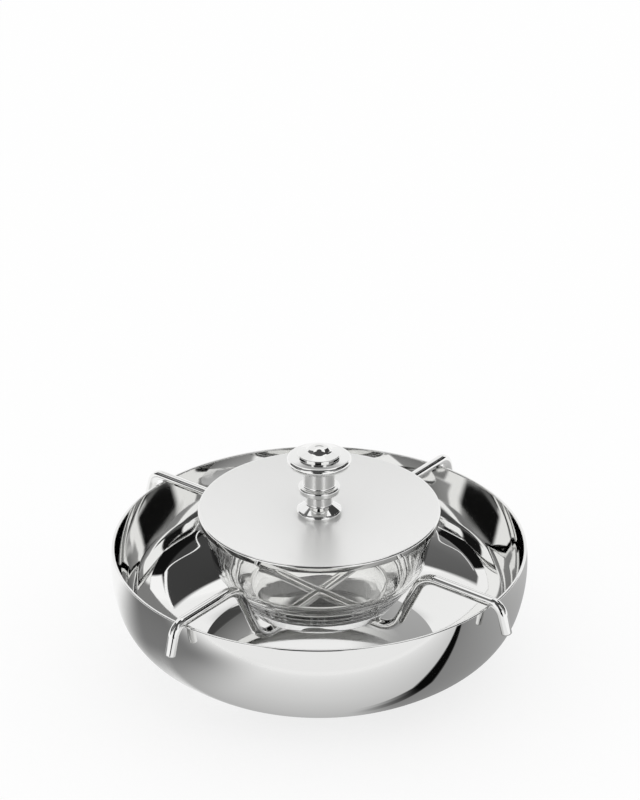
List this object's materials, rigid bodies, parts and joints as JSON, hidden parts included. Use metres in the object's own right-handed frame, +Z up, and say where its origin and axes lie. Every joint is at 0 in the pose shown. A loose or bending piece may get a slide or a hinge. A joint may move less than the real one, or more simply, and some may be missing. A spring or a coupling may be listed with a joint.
{
  "type": "caviar server",
  "caption": "Polished round ice bowl with a cradle of bent rods over its rim, holding a clear glass dish with a dished metal lid and turned knob.",
  "frame": {"origin": "middle of the bowl's flat base, on the table", "axes": "+Z up along the axis of bowl, dish, lid and knob; -Y is the front, which the picture shows; +X is to the right"},
  "size_m": [0.2012, 0.2012, 0.112],
  "materials": {
    "silver_plate": "mirror polished",
    "satin_silver": "finely polished, soft reflection",
    "clear_glass": "clear, fire polished",
    "screw_steel": "plain turned"
  },
  "bodies": {
    "root": {"ice_bowl": "silver_plate", "glass_dish": "clear_glass", "cradle_rod_over": "silver_plate", "cradle_rod_under": "silver_plate", "lid": "satin_silver", "lid_knob": "silver_plate", "knob_washer": "screw_steel", "knob_screw": "screw_steel"}
  },
  "joints": []
}
